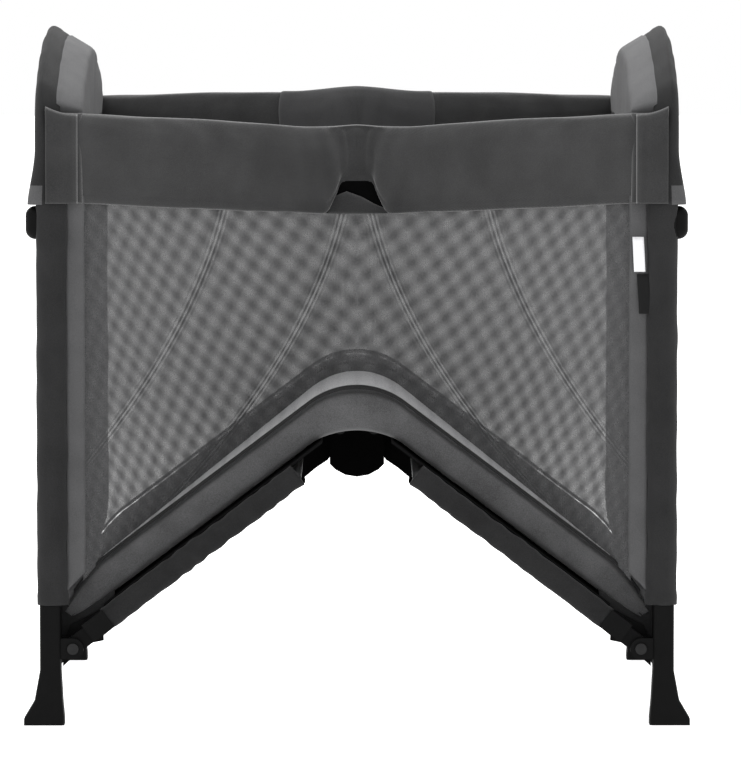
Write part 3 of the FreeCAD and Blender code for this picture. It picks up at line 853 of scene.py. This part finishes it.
def mesh_piping(side, end):
    """Dark binding where the net is sewn to the long edge of the mattress."""
    rows = []
    for step in range(81):
        x = between(-0.352, 0.0, step / 80)
        rows.append([mirrored((x, y, mattress_top(x) + rise), end, side)
                     for y, rise in ((-0.3102, -0.0025), (-0.3102, 0.0015), (-0.3042, 0.0020))])
    obj = sheet_of(f"mesh_piping_{side}_{end}", rows, STRIP_CLOTH)
    thicken(obj, 0.001)
    with_mattress(obj)


def mesh_skirt(side, end):
    """Gathered net tucked in along the top edge of the mattress."""
    rows = []
    for station in range(49):
        run = between(0.06, RAIL_RUN - 0.004, station / 48)
        line = []
        for row in range(9):
            above = between(0.044, 0.060, row / 8)
            pleat = 0.0010 * math.sin(run * 420 + row)
            x = -PIVOT_X + run * math.cos(SLOPE) - above * math.sin(SLOPE)
            z = FOOT_PIVOT.z + run * math.sin(SLOPE) + above * math.cos(SLOPE)
            line.append(mirrored((x, -0.301 + pleat, z), end, side))
        rows.append(line)
    obj = sheet_of(f"mesh_skirt_{side}_{end}", rows, NETS[side])
    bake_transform(obj)


# ---- base: mattress with its side band, wrapped side strips ----

MATTRESS_TIP = (-0.3657, -0.3507)   # lower end of the mattress, at its top and its underside
BAND_UNDER, BAND_OVER = 0.0205, 0.066   # underside and top, above the line between the pivots
UNDER_BEND, OVER_BEND = 0.107, 0.099    # bends of the underside and the top, over the hub


def mattress_top(x):
    """Top of the mattress. It rounds down at its lower end."""
    round_off = max((-0.312 - x) / 0.0537, 0.0)
    return rounded_base(x, BAND_OVER, OVER_BEND) - 0.0275 * round_off**2


def mattress_under(x):
    """Underside of the mattress, tucked up at its lower end."""
    tuck = max((-0.325 - x) / 0.0257, 0.0)
    return rounded_base(x, BAND_UNDER, UNDER_BEND) + 0.008 * tuck**2


def mattress_cover(end):
    """Half of the mattress, folded over the hub, with loose wrinkled cloth on its long sides."""
    half_y = 0.309
    rough = 1.5 if end == "right" else 0.8
    rings = []
    for row in range(111):
        share = (row / 110) ** 1.15
        ring = []
        for column in range(108):
            angle = 2 * math.pi * column / 108
            across, up = superellipse(angle, 1.0, 1.0, 8.0)
            lift = (up + 1) / 2
            x_top = between(MATTRESS_TIP[0], 0.0, share)
            x_under = between(MATTRESS_TIP[1], 0.0, share)
            x = between(x_under, x_top, lift)
            z = between(mattress_under(x_under), mattress_top(x_top), lift)
            side = smooth_step((abs(across) - 0.9) / 0.08)
            along = math.sin((x * 1.1 + z * 1.4) * 95 + 5 * ripple((x, lift * 0.04, across), 16, 2.0))
            fold = ripple((x, across * 0.3, lift * 0.12), 26, 2.0 + ENDS[end])
            sag = 0.0020 * math.sin(math.pi * lift)
            sag -= 0.0016 * abs(fold) * rough
            sag -= 0.0007 * rough * along * fold
            y = across * half_y + math.copysign(side * (sag - 0.001), across)
            z += 0.0022 * (1 - side) * ripple((x, y, 0), 9, 6.0) + 0.001 * ripple((x, y * 0.2, 0), 34, 4.0)
            ring.append(mirrored((x, y, z), end, "near"))
        rings.append(ring)
    obj = tube(f"mattress_cover_{end}", rings, BAND_CLOTH, (True, False))
    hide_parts(f"mattress_{end}")
    with_mattress(obj)


# Side view of the cloth between the mattress's lower end and the foot bracket: (x, low, high) on the left.
APRON = ((-0.3685, 0.072, 0.151), (-0.3600, 0.080, 0.146), (-0.3507, 0.088, 0.1360),
         (-0.3400, 0.096, 0.1400), (-0.3200, 0.104, 0.1520), (-0.2950, 0.124, 0.1700))


def base_apron(side, end):
    """Dark cloth that closes the gap above the foot bracket."""
    rows = []
    for (x, low, high), (next_x, next_low, next_high) in zip(APRON, APRON[1:]):
        for step in range(4):
            at = between(x, next_x, step / 4)
            bottom, top = between(low, next_low, step / 4), between(high, next_high, step / 4)
            line = []
            for row in range(13):
                z = between(bottom, top, row / 12)
                crease = 0.0010 * math.sin((z - 0.75 * at) * 420)
                line.append(mirrored((at, -0.3080 + crease, z), end, side))
            rows.append(line)
    obj = sheet_of(f"base_apron_{side}_{end}", rows, STRIP_CLOTH)
    thicken(obj, 0.0012)
    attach(obj, f"base_{end}")


def base_strip_rings(end, side):
    """Dark cloth wrapped around a side tube of the base, gathered in slanting wrinkles."""
    low_n, high_n, half_y = -0.0098, 0.0188, 0.0128
    rings = []
    for row in range(110):
        run = between(0.056, 0.352, row / 109)
        ring = []
        for column in range(32):
            angle = 2 * math.pi * column / 32
            across, up = superellipse(angle, half_y, (high_n - low_n) / 2, 3.0)
            slant = (run * 2.2 + across * 1.6 + up * 1.2) * 110
            wrinkle = math.sin(slant + 4 * ripple((run, across, up), 18, 5.0))
            puff = 0.0007 * wrinkle * (0.6 + ripple((run, up, ENDS[end]), 12, 1.0))
            puff = (puff + 0.0012 * ripple((run, across, up), 30, 9.0)) * (0.25 if up > 0.6 else 1.0)
            scale = 1 + min(max(puff, -0.0025), 0.0012) / half_y
            above = (low_n + high_n) / 2 + up * scale
            x = -PIVOT_X + run * math.cos(SLOPE) - above * math.sin(SLOPE)
            z = FOOT_PIVOT.z + run * math.sin(SLOPE) + above * math.cos(SLOPE)
            ring.append(mirrored((x, -LEG_Y + across * scale, z), end, side))
        rings.append(ring)
    return rings


def pair(stem, maker, node, body, material, end):
    """Near and far pieces of one CAD node, as one object."""
    parts = [tube(f"{stem}_{side}_{end}", maker(end, side), material) for side in SIDES]
    obj = joined(f"{stem}_{end}", parts)
    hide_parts(node)
    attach(obj, body)


for end in ENDS:
    pair("leg_sleeves_cloth", leg_sleeve_rings, f"leg_sleeves_{end}", f"end_{end}", SLEEVE_CLOTH,
         end)
    pair("base_strips_cloth", base_strip_rings, f"base_strips_{end}", f"base_{end}", STRIP_CLOTH,
         end)
    hoop_cover(end)
    end_lining(end)
    end_wall(end)
    mattress_cover(end)
    for side in SIDES:
        border_strip(end, side)
        rail_cover(side, end)
        rail_patch(side, end)
        mesh_side(side, end)
        mesh_shelf(side, end)
        mesh_piping(side, end)
        mesh_skirt(side, end)
        base_apron(side, end)
for side in SIDES:
    latch_painted_shade(side)
    latch_flap(side)

label("care_label", "right", WHITE_LABEL, 0.348, 0.563, 0.606, 0.014, -0.002)
label("maker_label", "right", BLACK_LABEL, 0.355, 0.511, 0.560, 0.016, -0.003)


# ---- finishes of the CAD pieces ----

FINISHES = {
    "steel_tube": FRAME_STEEL,
    "pin_steel": PIN_STEEL,
    "black_plastic": BLACK_PLASTIC,
    "button_plastic": BUTTON_PLASTIC,
    "board": BOARD_PLASTIC,
}
SLOTS = {part["node"]: part["material_slot"] for part in frame["record"]["subparts"]}
for name, obj in NODES.items():
    finish = FINISHES.get(SLOTS[name])
    if name.startswith(("hub_", "rail_bracket_")) and SLOTS[name] == "black_plastic":
        finish = HUB_PLASTIC
    if finish:
        obj.data.materials.clear()
        obj.data.materials.append(finish)


# ---- floor, light and camera ----

def studio():
    """White floor and backdrop, with three large soft lights."""
    bpy.ops.mesh.primitive_plane_add(size=30, location=(0, 6, -0.0005))
    floor = bpy.context.object
    floor.name = "studio_floor"
    paint, _, shader = new_material("studio_paint", 0.9)
    shader.inputs["Base Color"].default_value = (0.8, 0.8, 0.8, 1)
    shader.inputs["Emission Color"].default_value = (1, 1, 1, 1)
    shader.inputs["Emission Strength"].default_value = 0.8
    floor.data.materials.append(paint)
    world = bpy.data.worlds.new("studio_world")
    world.use_nodes = True
    background = world.node_tree.nodes["Background"]
    background.inputs["Color"].default_value = (1, 1, 1, 1)
    background.inputs["Strength"].default_value = 1.0
    bpy.context.scene.world = world
    for name, place, size, power in (
        ("key", (-1.4, -1.0, 3.6), 3.0, 44),
        ("fill", (2.6, -2.6, 2.8), 2.6, 8),
        ("back", (0.0, 2.8, 2.8), 3.0, 105),
    ):
        data = bpy.data.lights.new(name, "AREA")
        data.size = size
        data.energy = power
        lamp = bpy.data.objects.new(name, data)
        lamp.location = place
        lamp.rotation_euler = (Vector((0, 0, 0.45)) - Vector(place)).to_track_quat("-Z", "Y").to_euler()
        bpy.context.scene.collection.objects.link(lamp)


def camera():
    """Long lens in front of the near side, looking down a little and slightly to the right."""
    data = bpy.data.cameras.new("camera")
    data.lens = 292.6
    data.clip_end = 60
    obj = bpy.data.objects.new("camera", data)
    obj.location = (0.0, -8.031, 1.028)
    obj.rotation_euler = (math.radians(90 - 4.49), 0, math.radians(-0.125))
    bpy.context.scene.collection.objects.link(obj)
    bpy.context.scene.camera = obj


bpy.context.scene.view_settings.view_transform = "Standard"
studio()
camera()
